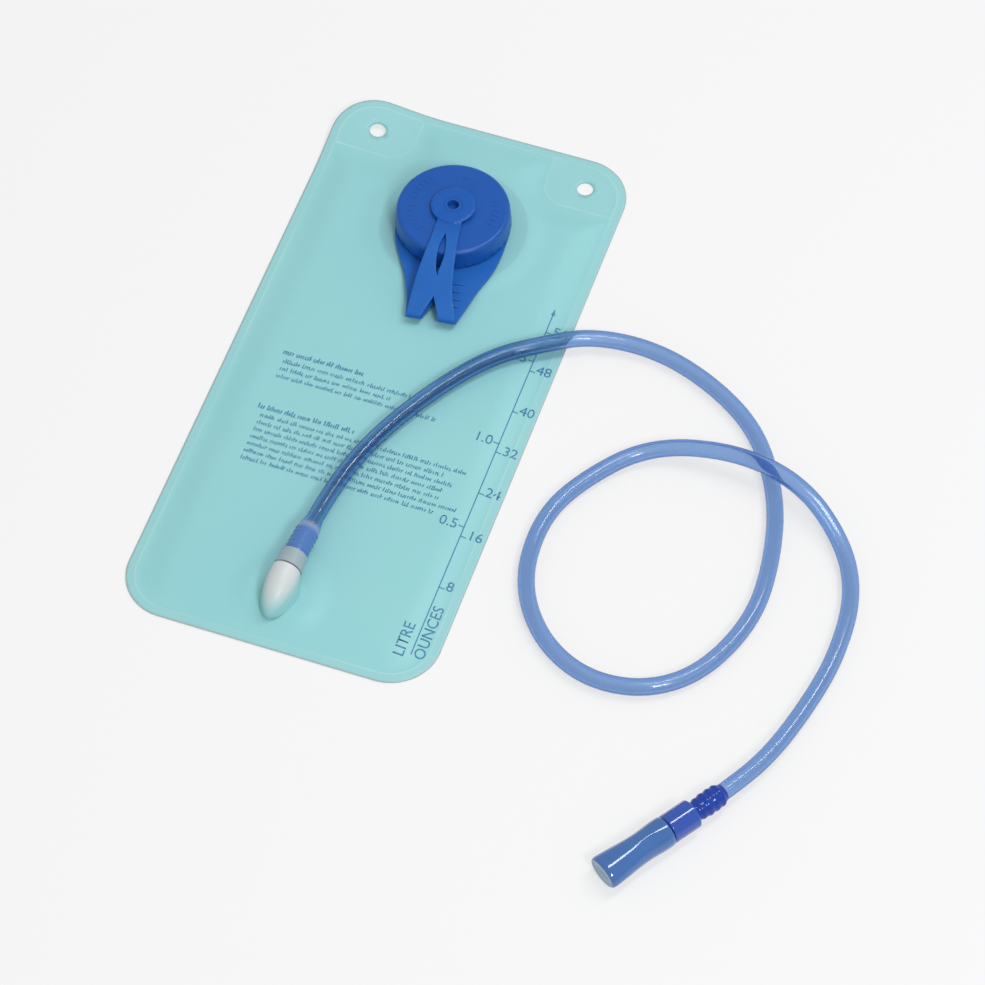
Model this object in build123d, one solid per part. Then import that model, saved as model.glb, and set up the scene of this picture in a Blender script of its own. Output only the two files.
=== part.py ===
from build123d import *
import math
import os

os.makedirs("parts", exist_ok=True)

# Hydration bladder: a flat welded film pouch with a screw-capped filler, and a drinking hose that
# ends in a twist-and-pull bite valve. Millimetres. The pouch lies on its back: +X runs across it,
# +Y runs up it towards the filler and the hang holes, +Z comes out of its front face. The origin
# is on the floor, under the middle of the pouch.

# ---- Pouch ----
bag_w = 180.0
bag_l = 374.0
bag_corner_r = 28.0
film_t = 0.5
weld_band = 5.0         # flat weld all round the edge
bag_top = 5.5           # height of the front film's flat top
slope_run = 10.0        # width of the sloping border between the weld and the flat top
knee_run = 5.0          # the outer, steeper part of that border
knee_drop = 1.2         # how far the knee lies below the flat top
tab_w = 50.0            # each top corner is welded flat over a triangle this wide
tab_h = 44.0            # and this high
tab_round_r = 30.0
hang_hole_r = 4.75
hang_spacing = 128.0
hang_inset = 21.0       # from the top edge to the hole's centre

# ---- Filler neck and its screw thread ----
cap_x = 2.0
cap_inset = 75.0        # from the top edge to the cap's axis
neck_r = 30.0
neck_wall = 2.5
neck_flange_w = 12.5     # how far the flange reaches past the neck
flange_t = 1.5
neck_rise = 13.4        # neck's rim above the flat top
film_fit = 0.2          # gap between a fitting and the hole in the film that it stands in
thread_pitch = 4.0
thread_turns = 1.5
thread_h = 1.05         # radial height of each ridge
thread_root_w = 1.8
thread_tip_w = 0.9
thread_start = 6.5      # lowest ridge centre above the flat top
thread_gap = 0.35       # radial gap between each ridge and the wall it faces

# ---- Screw cap ----
cap_wall = 2.1          # wall of the skirt over the thread's bore
skirt_rise = 5.0        # bottom of the skirt above the flat top
skirt_taper = 1.0
cap_top_t = 2.0
cap_round_r = 2.4
gasket_t = 1.5
gasket_w = 3.4
seal_gap = 0.1
flute_count = 36
flute_r = 2.6
flute_depth = 0.35
post_r = 4.7
post_bead_r = 5.3
post_bead_h = 0.8
post_hole_r = 3.3
post_hole_depth = 4.0

# ---- Cap tether ----
moving_gap = 0.3        # clearance between parts that move past each other
swivel_gap = 0.1        # radial running fit of the eye on the cap's post
tether_yaw = 9.5        # the tether points this many degrees from straight down the pouch
ring_gap = 0.5
ring_wall = 2.6
ring_rise = 1.5         # underside of the ring above the flat top
ring_t = 2.0
tail_root_half_w = 29.0
tail_root_v = 16.0
foot_half_w = 14.5
foot_reach = 37.5       # from the cap's skirt to the fold
notch_l = 15.0
notch_half_w = 5.3
fold_t = 1.8
fold_top = 6.6          # top of the turned-up fold above the flat top
eye_r = 12.5
eye_t = 2.7
strap_t = 1.8
strap_bend_inset = 2.5  # from the skirt's outside in to where the strap leaves the cap's top
strap_end_rise = 4.2    # underside of the strap's end above the flat top
strap_root_half_w = 6.5
slit_start_v = 20.0
slit_end_gap = 24.0     # from the fold up to the slit's end
slit_half_w = 2.4
grip_rib_h = 0.7
grip_rib_w = 1.4
grip_rib_half_l = 12.0
grip_rib_count = 3
grip_rib_pitch = 5.5
grip_rib_reach = 29.0   # from the fold up to the first rib

# ---- Outlet port ----
port_x = -3.0
port_inset = 42.3       # from the bottom edge to the port's mouth
port_yaw = 3.0          # the outlet points this many degrees to the right of straight up
port_mouth_r = 8.2
port_l = 27.0           # cowl length behind the mouth
port_pad_half_w = 11.0
port_pad_h = 1.2
port_flange_half_w = 17.0
port_flange_l = 37.0
port_flange_ahead = 10.0  # how far the flange runs past the mouth
port_flange_t = 1.2
port_lift = 0.2         # lowest point of the mouth above the flat top
socket_depth = 14.0
duct_r = 3.2
duct_margin = 1.3       # from the duct's wall to the socket's end
duct_wall = 1.5         # wall of the duct where it passes through the film

# ---- Hose and its connector ----
hose_r = 4.75
hose_bore_r = 3.175
spigot_fit = 0.1
spigot_r = 4.9
spigot_l = 12.0
collar_l = 10.0
collar_end_r = 7.2
face_gap = 1.0          # gap between the collar's face and the port's mouth
port_seal_r = 0.9       # section radius of the O-ring in that gap
waterway_r = 2.2
barb_r = 4.0
barb_root_r = 3.175
port_barb_pitch = 3.0
port_barb_count = 5
valve_barb_pitch = 4.4
valve_barb_count = 4

# ---- Bite valve ----
valve_heading = 236.0   # degrees from +X, seen from above
valve_axis_z = 8.8
shoulder_r = 8.3
shoulder_l = 17.1
shoulder_round_r = 1.2
seat_t = 4.2            # wall between the hose barbs and the bore that the spool slides in
socket_r = 6.2
spool_fit = 0.1
piston_l = 5.0
piston_start = 3.3      # from the seat wall to the piston
ring_groove_l = 2.0
valve_ring_r = 0.75     # section radius of the spool's O-ring
spool_r = 4.5
spool_bore_r = 1.8
spool_nose_l = 1.8
spool_reach = 21.0      # spool length beyond the shoulder
sleeve_gap = 0.4
sleeve_l = 42.3
sleeve_root_r = 8.6
sleeve_waist_r = 8.3
sleeve_waist_s = 18.0
tip_half_w = 9.9
tip_half_h = 7.4
tip_round_r = 1.6
membrane_t = 1.6
chamber_half_w = 7.2
chamber_half_h = 4.2
bite_slit_w = 9.0
bite_slit_t = 0.4

# ---- Values worked out from those above ----
cap_y = bag_l / 2 - cap_inset
port_y = port_inset - bag_l / 2
neck_top = bag_top + neck_rise
gasket_z = neck_top + seal_gap
cap_under = gasket_z + gasket_t
cap_top = cap_under + cap_top_t
skirt_z = bag_top + skirt_rise
neck_flange_r = neck_r + neck_flange_w
cap_bore_r = neck_r + thread_h + thread_gap
skirt_r = cap_bore_r + cap_wall
strap_bend_v = skirt_r - strap_bend_inset
foot_v = skirt_r + foot_reach
notch_v = foot_v - notch_l
slit_end_v = foot_v - slit_end_gap
grip_rib_first_v = foot_v - grip_rib_reach
strap_z = cap_top + moving_gap
ring_z = bag_top + ring_rise
port_z = bag_top + port_lift + port_mouth_r
flange_z = bag_top - film_t - flange_t
collar_s = face_gap + collar_l
spigot_bore_r = spigot_r + spigot_fit

flange_mid = port_flange_ahead - port_flange_l / 2

# Where a shape's own box touches its origin.
on_base = (Align.CENTER, Align.CENTER, Align.MIN)
under_top = (Align.CENTER, Align.CENTER, Align.MAX)

cap_place = Location((cap_x, cap_y, 0))
tether_place = Location((cap_x, cap_y, 0), (0, 0, tether_yaw))
# The port's own frame: +Z is the way out of the socket, +X points up.
port_heading = math.radians(90 - port_yaw)
port_out = Vector(math.cos(port_heading), math.sin(port_heading), 0)
port_frame = Plane(origin=(port_x, port_y, port_z), x_dir=(0, 0, 1), z_dir=port_out)
# The valve's own frame: +Z is the way out of the mouthpiece, +Y points up.
valve_out = Vector(math.cos(math.radians(valve_heading)), math.sin(math.radians(valve_heading)), 0)

# The hose's route, from the connector, over the pouch's right edge, once round in a loose loop
# that passes over itself, to the valve. Arcs join its straight runs.
hose_rest_z = bag_top + hose_r + moving_gap
hose_floor_z = hose_r
hose_hump_z = 3 * hose_r + 2 * hose_r
hose_first_run = 41.0
hose_last_run = 25.8
hose_start = Vector(port_x, port_y, port_z) + port_out * collar_s
valve_origin = Vector(248.6, -213.2, valve_axis_z)
valve_frame = Plane(origin=valve_origin, x_dir=Vector(0, 0, 1).cross(valve_out), z_dir=valve_out)
hose_route = [
    hose_start,
    hose_start + port_out * hose_first_run,
    (9.0, -47.5, hose_rest_z),
    (30.5, -4.0, hose_rest_z),
    (54.0, 29.0, hose_rest_z),
    (78.5, 46.5, hose_rest_z),
    (103.0, 63.0, 8.0),
    (140.5, 67.0, hose_floor_z),
    (178.5, 53.5, hose_floor_z),
    (210.0, 31.0, hose_floor_z),
    (232.5, -7.5, hose_floor_z),
    (242.0, -48.5, hose_floor_z),
    (243.0, -87.5, hose_floor_z),
    (227.0, -128.0, hose_floor_z),
    (201.0, -148.5, hose_floor_z),
    (168.0, -151.5, hose_floor_z),
    (138.0, -135.5, hose_floor_z),
    (117.5, -104.5, hose_floor_z),
    (114.0, -65.5, hose_floor_z),
    (124.5, -35.0, hose_floor_z),
    (155.0, 2.5, hose_floor_z + 2.0),
    (203.5, 8.5, hose_hump_z),
    (242.5, -4.5, hose_hump_z),
    (270.5, -27.5, hose_floor_z + 2.0),
    (289.0, -54.0, hose_floor_z),
    (293.5, -93.5, hose_floor_z),
    (286.5, -127.0, hose_floor_z),
    (276.5, -164.4, hose_floor_z + 2.0),
    valve_origin - valve_out * hose_last_run,
    valve_origin,
]


def bag_outline(z):
    """The pouch's whole outline."""
    return Pos(0, 0, z) * RectangleRounded(bag_w, bag_l, bag_corner_r)


def blown_outline(inset, z):
    """The outline of the part that can fill, which leaves a flat tab at each top corner."""
    half_w = bag_w / 2 - weld_band
    half_l = bag_l / 2 - weld_band
    diagonal = math.hypot(tab_w, tab_h)
    side_shift = inset * (1 - tab_h / diagonal) / (tab_w / diagonal)
    top_shift = inset * (1 - tab_w / diagonal) / (tab_h / diagonal)
    right = [
        (half_w - inset, inset - half_l),
        (half_w - inset, half_l - tab_h - side_shift),
        (half_w - tab_w - top_shift, half_l - inset),
    ]
    left = [(-x, y) for x, y in reversed(right)]
    outline = make_face(Polyline(*right, *left, close=True))
    low_corners = outline.vertices().sort_by(Axis.Y)[:2]
    outline = fillet(low_corners, tab_round_r - inset)
    tab_corners = outline.vertices().filter_by(lambda v: v.Y > half_l - tab_h - side_shift - 1)
    return Pos(0, 0, z) * fillet(tab_corners, tab_round_r - inset)


def blown_form(z_low, z_top):
    """The space under the blown film: a steep border, a gentler one and a flat top."""
    sections = [
        blown_outline(0, z_low),
        blown_outline(knee_run, z_top - knee_drop),
        blown_outline(slope_run, z_top),
    ]
    return loft(sections, ruled=True)


def hang_holes():
    """Cutters for the two hang holes."""
    y = bag_l / 2 - hang_inset
    hole = Cylinder(hang_hole_r, 4 * film_t)
    return [Pos(side * hang_spacing / 2, y, film_t) * hole for side in (-1, 1)]


def make_back_film():
    return extrude(bag_outline(0), film_t) - hang_holes()


def make_front_film():
    band = extrude(bag_outline(film_t), film_t)
    shell = band + blown_form(2 * film_t, bag_top) - blown_form(film_t, bag_top - film_t)
    neck_hole = cap_place * Pos(0, 0, bag_top) * Cylinder(neck_r + film_fit, 4 * film_t)
    duct_hole = duct_cylinder(duct_r + duct_wall + film_fit)
    return shell - hang_holes() - neck_hole - duct_hole


def thread_ridge(base_r, inward):
    """One helical ridge, sunk a little into the wall that carries it."""
    side = -1 if inward else 1
    path = Helix(thread_pitch, thread_pitch * thread_turns, base_r)
    sunk_r = base_r - side * 0.3
    tip_r = base_r + side * thread_h
    corners = [
        (sunk_r, -thread_root_w / 2),
        (tip_r, -thread_tip_w / 2),
        (tip_r, thread_tip_w / 2),
        (sunk_r, thread_root_w / 2),
    ]
    profile = Plane.XZ * make_face(Polyline(*corners, close=True))
    ridge = sweep(profile, path=path, is_frenet=True)
    return Pos(0, 0, bag_top + thread_start) * ridge


def make_filler_neck():
    flange = Pos(0, 0, flange_z) * Cylinder(neck_flange_r, flange_t, align=on_base)
    tube_h = neck_top - flange_z
    tube = Pos(0, 0, flange_z) * Cylinder(neck_r, tube_h, align=on_base)
    bore = Pos(0, 0, flange_z) * Cylinder(neck_r - neck_wall, tube_h, align=on_base)
    return cap_place * (flange + tube - bore + thread_ridge(neck_r, False))


def make_screw_cap():
    outer_top_r = skirt_r - skirt_taper
    height = cap_top - skirt_z
    body = Pos(0, 0, skirt_z) * Cone(skirt_r, outer_top_r, height, align=on_base)
    body = fillet(body.edges().sort_by(Axis.Z)[-1], cap_round_r)
    hollow = Pos(0, 0, skirt_z) * Cylinder(cap_bore_r, cap_under - skirt_z, align=on_base)
    flute = Pos(skirt_r + flute_r - flute_depth, 0, skirt_z) * Cylinder(flute_r, height, align=on_base)
    flutes = [Rot(0, 0, i * 360 / flute_count) * flute for i in range(flute_count)]
    ridge = Rot(0, 0, 180) * thread_ridge(cap_bore_r, True)
    post = Pos(0, 0, cap_top) * Cylinder(post_r, strap_z + eye_t - cap_top, align=on_base)
    bead_z = strap_z + eye_t - post_bead_h
    bead = Pos(0, 0, bead_z) * Cylinder(post_bead_r, post_bead_h, align=on_base)
    hole_z = strap_z + eye_t - post_hole_depth
    hole = Pos(0, 0, hole_z) * Cylinder(post_hole_r, post_hole_depth, align=on_base)
    return cap_place * (body - hollow - flutes + ridge + post + bead - hole)


def make_cap_gasket():
    outer_r = cap_bore_r - thread_gap
    ring = Cylinder(outer_r, gasket_t, align=on_base) - Cylinder(outer_r - gasket_w, gasket_t, align=on_base)
    return cap_place * Pos(0, 0, gasket_z) * ring


def fold_notch(z_low, height):
    """Cutter for the V between the tether's two feet."""
    corners = [(0, -notch_v), (notch_half_w, -foot_v - 1), (-notch_half_w, -foot_v - 1)]
    return Pos(0, 0, z_low) * extrude(make_face(Polyline(*corners, close=True)), height)


def make_tether_ring():
    """The ring round the neck, its tapering tail and the two turned-up feet of the fold."""
    corners = [
        (tail_root_half_w, -tail_root_v),
        (foot_half_w, -foot_v),
        (-foot_half_w, -foot_v),
        (-tail_root_half_w, -tail_root_v),
    ]
    bore_r = neck_r + ring_gap
    tail = extrude(make_face(Polyline(*corners, close=True)), ring_t)
    ring = tail + Cylinder(bore_r + ring_wall, ring_t, align=on_base)
    ring = Pos(0, 0, ring_z) * (ring - Cylinder(bore_r, ring_t, align=on_base))
    fold_h = bag_top + fold_top - ring_z
    fold = Pos(0, fold_t / 2 - foot_v, ring_z) * Box(2 * foot_half_w, fold_t, fold_h, align=on_base)
    rib = Box(2 * grip_rib_half_l, grip_rib_w, grip_rib_h, align=on_base)
    rib_places = [grip_rib_first_v + i * grip_rib_pitch for i in range(grip_rib_count)]
    ribs = [Pos(0, -v, ring_z + ring_t) * rib for v in rib_places]
    return tether_place * (ring + fold + ribs - fold_notch(ring_z, fold_h + 1))


def make_tether_strap():
    """The eye on the cap's post and the slit strap that runs down from it to the fold."""
    end_v = foot_v - fold_t - moving_gap
    end_z = bag_top + strap_end_rise
    side = [
        (-eye_r / 2, strap_z),
        (-strap_bend_v, strap_z),
        (-end_v, end_z),
        (-end_v, end_z + strap_t),
        (-strap_bend_v - 1, strap_z + strap_t),
        (-eye_r / 2, strap_z + strap_t),
    ]
    side_face = Plane.YZ * make_face(Polyline(*side, close=True))
    band = extrude(side_face, foot_half_w, both=True)
    plan = [
        (strap_root_half_w, 0),
        (strap_root_half_w, -slit_start_v),
        (foot_half_w, -end_v),
        (-foot_half_w, -end_v),
        (-strap_root_half_w, -slit_start_v),
        (-strap_root_half_w, 0),
    ]
    trim = extrude(make_face(Polyline(*plan, close=True)), 2 * strap_z)
    slit_mid = (slit_start_v + slit_end_v) / 2
    slit_arcs = [
        ThreePointArc((0, -slit_start_v), (slit_half_w, -slit_mid), (0, -slit_end_v)),
        ThreePointArc((0, -slit_end_v), (-slit_half_w, -slit_mid), (0, -slit_start_v)),
    ]
    slit = extrude(make_face(slit_arcs), 2 * strap_z)
    eye = Pos(0, 0, strap_z) * Cylinder(eye_r, eye_t, align=on_base)
    eye = fillet(eye.edges().sort_by(Axis.Z)[-1], 1.0)
    bore = Pos(0, 0, strap_z) * Cylinder(post_r + swivel_gap, eye_t, align=on_base)
    recess_h = post_bead_h + moving_gap
    recess_z = strap_z + eye_t - recess_h
    recess = Pos(0, 0, recess_z) * Cylinder(post_bead_r + moving_gap, recess_h, align=on_base)
    strap = (band & trim) - slit - fold_notch(0, 2 * strap_z) + eye - bore - recess
    return tether_place * strap


def duct_cylinder(radius):
    """A vertical cylinder through the film under the port's socket."""
    centre = Vector(port_x, port_y, 0) - port_out * (socket_depth - duct_r - duct_margin)
    height = port_z - bag_top + film_t + port_flange_t
    return Pos(centre.X, centre.Y, port_z) * Cylinder(radius, height, align=under_top)


def cowl_arch(back):
    """The cowl's arched section at a distance behind the mouth; it shrinks like an ellipse."""
    size = math.sqrt(1 - (back / port_l) ** 2)
    half_w = port_mouth_r * size
    shoulder_z = (port_z - bag_top) * size
    feet = Polyline((-half_w, shoulder_z), (-half_w, 0), (half_w, 0), (half_w, shoulder_z))
    arch = ThreePointArc((half_w, shoulder_z), (0, shoulder_z + half_w), (-half_w, shoulder_z))
    return Plane(origin=(0, -back, bag_top), x_dir=(-1, 0, 0), z_dir=(0, 1, 0)) * make_face([feet, arch])


def make_outlet_port():
    """Teardrop cowl outside the film, weld flange inside it, and a duct between the two."""
    lying = Location((port_x, port_y, 0), (0, 0, -port_yaw))
    stations = [port_l * math.sin(math.radians(angle)) for angle in (0, 20, 38, 54, 68, 80)]
    cowl = loft([cowl_arch(back) for back in stations], ruled=True)
    pad = extrude(Pos(0, -port_l / 2, bag_top) * Ellipse(port_pad_half_w, port_l / 2), port_pad_h)
    flange = Ellipse(port_flange_half_w, port_flange_l / 2)
    inside = extrude(Pos(0, flange_mid, bag_top - film_t - port_flange_t) * flange, port_flange_t)
    body = lying * (cowl + pad + inside) + duct_cylinder(duct_r + duct_wall)
    socket = port_frame * Cylinder(spigot_bore_r, socket_depth, align=under_top)
    return body - socket - duct_cylinder(duct_r)


def ring_groove(centre_r, section_r):
    """The ring-shaped space that an O-ring lying in the XY plane takes up."""
    return Cylinder(centre_r + section_r, section_r, align=on_base) - Cylinder(
        centre_r - section_r, section_r, align=on_base
    )


def barbs(count, pitch, length):
    """A barbed stem along +Z that starts at the origin; each barb is a cone facing away from it."""
    stem = Cylinder(barb_root_r, length, align=on_base)
    cone = Cone(barb_r, barb_root_r, pitch * 0.8, align=on_base)
    cones = [Pos(0, 0, length - (i + 1) * pitch) * cone for i in range(count)]
    return stem + cones


def make_hose_connector():
    """Conical collar with a spigot for the port behind it and barbs for the hose in front."""
    seal_centre_r = spigot_r + port_seal_r
    collar = Pos(0, 0, face_gap) * Cone(port_mouth_r, collar_end_r, collar_l, align=on_base)
    groove = Pos(0, 0, face_gap) * ring_groove(seal_centre_r, port_seal_r)
    spigot = Pos(0, 0, face_gap - spigot_l) * Cylinder(spigot_r, spigot_l, align=on_base)
    stem_l = port_barb_pitch * port_barb_count + 1.0
    stem = Pos(0, 0, collar_s) * barbs(port_barb_count, port_barb_pitch, stem_l)
    bore_l = spigot_l + collar_l + stem_l
    bore = Pos(0, 0, face_gap - spigot_l) * Cylinder(waterway_r, bore_l, align=on_base)
    return port_frame * (collar - groove + spigot + stem - bore)


def make_port_o_ring():
    seal_centre_r = spigot_r + port_seal_r
    return port_frame * Pos(0, 0, face_gap) * Torus(seal_centre_r, port_seal_r)


def hose_path():
    """The hose's centre line: straight runs, each corner rounded as widely as its runs allow."""
    points = [Vector(point) for point in hose_route]
    radii = []
    for before, corner, after in zip(points, points[1:], points[2:]):
        arrive = corner - before
        leave = after - corner
        half_turn = math.radians(arrive.get_angle(leave) / 2)
        radii.append(0.45 * min(arrive.length, leave.length) / math.tan(half_turn))
    print("hose radii", [round(radius) for radius in radii])
    return FilletPolyline(*points, radius=radii)


def make_drink_hose():
    path = hose_path()
    section = Circle(hose_r) - Circle(hose_bore_r)
    tube = sweep(Plane(origin=path @ 0, z_dir=path % 0) * section, path=path)
    ideal = math.pi * (hose_r**2 - hose_bore_r**2) * path.length
    print("hose length", round(path.length), "volume ratio", round(tube.volume / ideal, 4))
    return tube


def make_valve_housing():
    """Barbed stem inside the hose's end and the shoulder that the spool slides in."""
    stem_l = valve_barb_pitch * valve_barb_count + 2.0
    stem = Rot(180, 0, 0) * barbs(valve_barb_count, valve_barb_pitch, stem_l)
    shoulder = Cylinder(shoulder_r, shoulder_l, align=on_base)
    shoulder = fillet(shoulder.edges().filter_by(GeomType.CIRCLE), shoulder_round_r)
    bore = Pos(0, 0, -stem_l) * Cylinder(waterway_r, stem_l + seat_t, align=on_base)
    socket = Pos(0, 0, seat_t) * Cylinder(socket_r, shoulder_l - seat_t, align=on_base)
    return valve_frame * (stem + shoulder - bore - socket)


def piston_groove_s():
    """Middle of the spool's O-ring groove, along the valve's axis."""
    return seat_t + piston_start + piston_l / 2


def make_valve_o_ring():
    centre_r = socket_r - spool_fit - valve_ring_r
    return valve_frame * Pos(0, 0, piston_groove_s()) * Torus(centre_r, valve_ring_r)


def make_valve_spool():
    """Hollow piston: a plug nose in the seat, cross ports, an O-ring piston and a long tube."""
    start_s = seat_t - spool_nose_l
    end_s = shoulder_l + spool_reach
    nose = Pos(0, 0, start_s) * Cylinder(waterway_r - spool_fit, spool_nose_l, align=on_base)
    tube_s = seat_t + moving_gap
    neck = Pos(0, 0, seat_t) * Cylinder(waterway_r - spool_fit, moving_gap, align=on_base)
    tube = Pos(0, 0, tube_s) * Cylinder(spool_r - 1.0, end_s - tube_s, align=on_base)
    front_s = seat_t + piston_start + piston_l
    front = Pos(0, 0, front_s) * Cylinder(spool_r, end_s - front_s, align=on_base)
    piston = Pos(0, 0, front_s - piston_l) * Cylinder(socket_r - spool_fit, piston_l, align=on_base)
    groove_floor_r = socket_r - spool_fit - 2 * valve_ring_r - spool_fit
    groove_ring = Cylinder(socket_r, ring_groove_l) - Cylinder(groove_floor_r, ring_groove_l)
    groove = Pos(0, 0, piston_groove_s()) * groove_ring
    bore_s = tube_s + 0.8
    bore = Pos(0, 0, bore_s) * Cylinder(spool_bore_r, end_s - bore_s, align=on_base)
    cross = Pos(0, 0, bore_s + 1.0) * Rot(90, 0, 0) * Cylinder(0.9, 4 * spool_r)
    return valve_frame * (nose + neck + tube + front + piston - groove - bore - cross)


def make_mouthpiece():
    """Soft bite sleeve: round where it grips the spool, wide and flat at its slit tip."""
    start_s = shoulder_l + sleeve_gap
    rear = loft([Circle(sleeve_root_r), Pos(0, 0, sleeve_waist_s) * Circle(sleeve_waist_r)], ruled=True)
    tip = Pos(0, 0, sleeve_l) * Ellipse(tip_half_w, tip_half_h)
    front = loft([Pos(0, 0, sleeve_waist_s) * Circle(sleeve_waist_r), tip], ruled=True)
    body = rear + front
    body = fillet(body.edges().sort_by(Axis.Z)[-1], tip_round_r)
    spool_space = Cylinder(spool_r, spool_reach - sleeve_gap, align=on_base)
    chamber_s = spool_reach - sleeve_gap
    chamber = loft(
        [
            Pos(0, 0, chamber_s) * Circle(spool_r - 0.5),
            Pos(0, 0, sleeve_l - membrane_t) * Ellipse(chamber_half_w, chamber_half_h),
        ],
        ruled=True,
    )
    slit = Pos(0, 0, sleeve_l) * Box(bite_slit_w, bite_slit_t, 4 * membrane_t)
    return valve_frame * Pos(0, 0, start_s) * (body - spool_space - chamber - slit)


pieces = {
    "back_film": make_back_film,
    "front_film": make_front_film,
    "filler_neck": make_filler_neck,
    "tether_ring": make_tether_ring,
    "outlet_port": make_outlet_port,
    "tether_strap": make_tether_strap,
    "screw_cap": make_screw_cap,
    "cap_gasket": make_cap_gasket,
    "hose_connector": make_hose_connector,
    "port_o_ring": make_port_o_ring,
    "drink_hose": make_drink_hose,
    "valve_housing": make_valve_housing,
    "valve_o_ring": make_valve_o_ring,
    "valve_spool": make_valve_spool,
    "mouthpiece": make_mouthpiece,
}
for name, make in pieces.items():
    export_step(make(), f"parts/{name}.step")
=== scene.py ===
"""Looks for a hydration bladder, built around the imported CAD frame. Metres, in the row frame."""

import math
import random

import bmesh
import bpy
import numpy as np
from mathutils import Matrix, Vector
from mathutils.geometry import delaunay_2d_cdt


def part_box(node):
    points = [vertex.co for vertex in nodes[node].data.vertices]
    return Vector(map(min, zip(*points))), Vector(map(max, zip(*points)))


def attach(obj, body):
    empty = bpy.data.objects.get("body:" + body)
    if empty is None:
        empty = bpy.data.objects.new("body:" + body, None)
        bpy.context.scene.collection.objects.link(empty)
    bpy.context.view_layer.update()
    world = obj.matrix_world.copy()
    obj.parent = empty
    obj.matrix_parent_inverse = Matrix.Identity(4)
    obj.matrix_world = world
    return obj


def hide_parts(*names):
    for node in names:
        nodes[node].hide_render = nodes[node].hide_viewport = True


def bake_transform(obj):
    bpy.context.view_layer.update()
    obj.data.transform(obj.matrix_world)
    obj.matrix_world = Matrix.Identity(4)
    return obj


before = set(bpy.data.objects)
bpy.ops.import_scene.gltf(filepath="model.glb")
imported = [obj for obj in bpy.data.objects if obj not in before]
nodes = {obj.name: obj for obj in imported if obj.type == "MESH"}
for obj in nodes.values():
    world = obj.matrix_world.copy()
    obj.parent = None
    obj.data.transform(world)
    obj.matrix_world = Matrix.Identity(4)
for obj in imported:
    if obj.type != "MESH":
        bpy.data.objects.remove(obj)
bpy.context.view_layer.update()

MM = 0.001
UP = Vector((0, 0, 1))

# ---- Camera and studio ----
VIEW_AZIMUTH = math.radians(19.09)
VIEW_ELEVATION = math.radians(56.09)
VIEW_DISTANCE = 2.2055
VIEW_TARGET = Vector((0.0824, -0.0517, 0))
LENS_MM = 146.2
SENSOR_MM = 36
LIGHT_TARGET = Vector((0.1, -0.05, 0))
FLOOR_SIZE = 6.0
FLOOR_Z = -0.0002

# ---- Pouch ----
HALF_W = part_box("back_film")[1].x
HALF_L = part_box("back_film")[1].y
CORNER_R = 0.028
FILM_T = 0.0004
FILM_STEP = 0.003
BACK_MID_Z = 0.00025
WELD_W = 0.005
WELD_TOP = 0.001
RIM_STEP = 0.0025
RIM_BANDS = (0.0014, 0.0028, 0.0040, 0.0050, 0.0060, 0.0075, 0.0095, 0.012, 0.015)
SEAM_H = 0.00025
SEAM_W = 0.0012
FLAT_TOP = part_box("front_film")[1].z
SLOPE_W = 0.020
SLACK = 0.0011
FITTING_FADE = 0.012
HANG_X, HANG_Y, HANG_R = 0.064, 0.166, 0.00475
TAB_X, TAB_Y, TAB_R = 0.0405, 0.150, 0.015
TAB_SEAM_GAP = 0.001
CURL_LIFT = 0.006
CURL_REACH = 0.062

# ---- Cap and tether ----
CAP_PLATE_T = 0.002
MARK_T = 0.0004
cap_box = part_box("screw_cap")
CAP_X = (cap_box[0].x + cap_box[1].x) / 2
CAP_Y = (cap_box[0].y + cap_box[1].y) / 2
NECK_R = 0.0302
NECK_FLANGE_R = 0.0425
TETHER_YAW = math.radians(7.8)
RING_MID_Z = 0.008
EYE_Z = 0.02415
STRAP_Z = 0.0237
FOLD_V = 0.0688
FOLD_R = 0.0014
STRAP_BEND_V = 0.031
TETHER_T = 0.0027
RING_INNER_R = 0.0305
RING_OUTER_R = 0.0331
EYE_R = 0.0125
EYE_HOLE_R = 0.00545
EYE_THICK_R = 0.0128
EYE_FADE = 0.0008
NOTCH_REACH = 0.0575
SLIT_START = 0.0465
SLIT_END = 0.0200
THIN_SHARE = 0.667

# The tether laid out flat: u across it, s along it from the cap's axis. The fold is at FOLD_S.
FOLD_TURN = math.pi * FOLD_R
FOLD_S = FOLD_V + FOLD_TURN / 2
EYE_S = 2 * FOLD_V + FOLD_TURN

# Edges of the tail as (u, s), and of the strap as (u, distance from the eye).
TAIL_RIGHT = [(0.03303, 0.0020), (0.0320, 0.018), (0.0290, 0.032), (0.0236, 0.044), (0.0200, 0.056)]
TAIL_RIGHT += [(0.0168, 0.066), (0.0151, FOLD_S)]
TAIL_LEFT = [(-0.03303, 0.0020), (-0.0310, 0.017), (-0.0262, 0.028), (-0.0212, 0.038), (-0.0162, 0.053)]
TAIL_LEFT += [(-0.0136, 0.065), (-0.0130, FOLD_S)]
STRAP_RIGHT = [(0.0141, 0.066), (0.0112, 0.058), (0.0092, 0.048), (0.0081, 0.034), (0.0073, 0.020)]
STRAP_RIGHT += [(0.0071, 0.0102)]
STRAP_LEFT = [(-0.0128, 0.064), (-0.0119, 0.050), (-0.0094, 0.035), (-0.0070, 0.021), (-0.0068, 0.0102)]

# Finger ribs: their places along the tail, and their ends across it, whole or cut by the notch.
RIB_PLACES = (0.0430, 0.0485, 0.0540, 0.0590)
RIB_WHOLE = [(-0.0140, 0.0155)]
RIB_HALVES = [(-0.0130, -0.0035), (0.0045, 0.0155)]
RIB_HALF_W = 0.0007
RIB_H = 0.0008
RIB_LIFT = 0.0011
RIB_STEPS = 12
RIB_SIDES = 10

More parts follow.
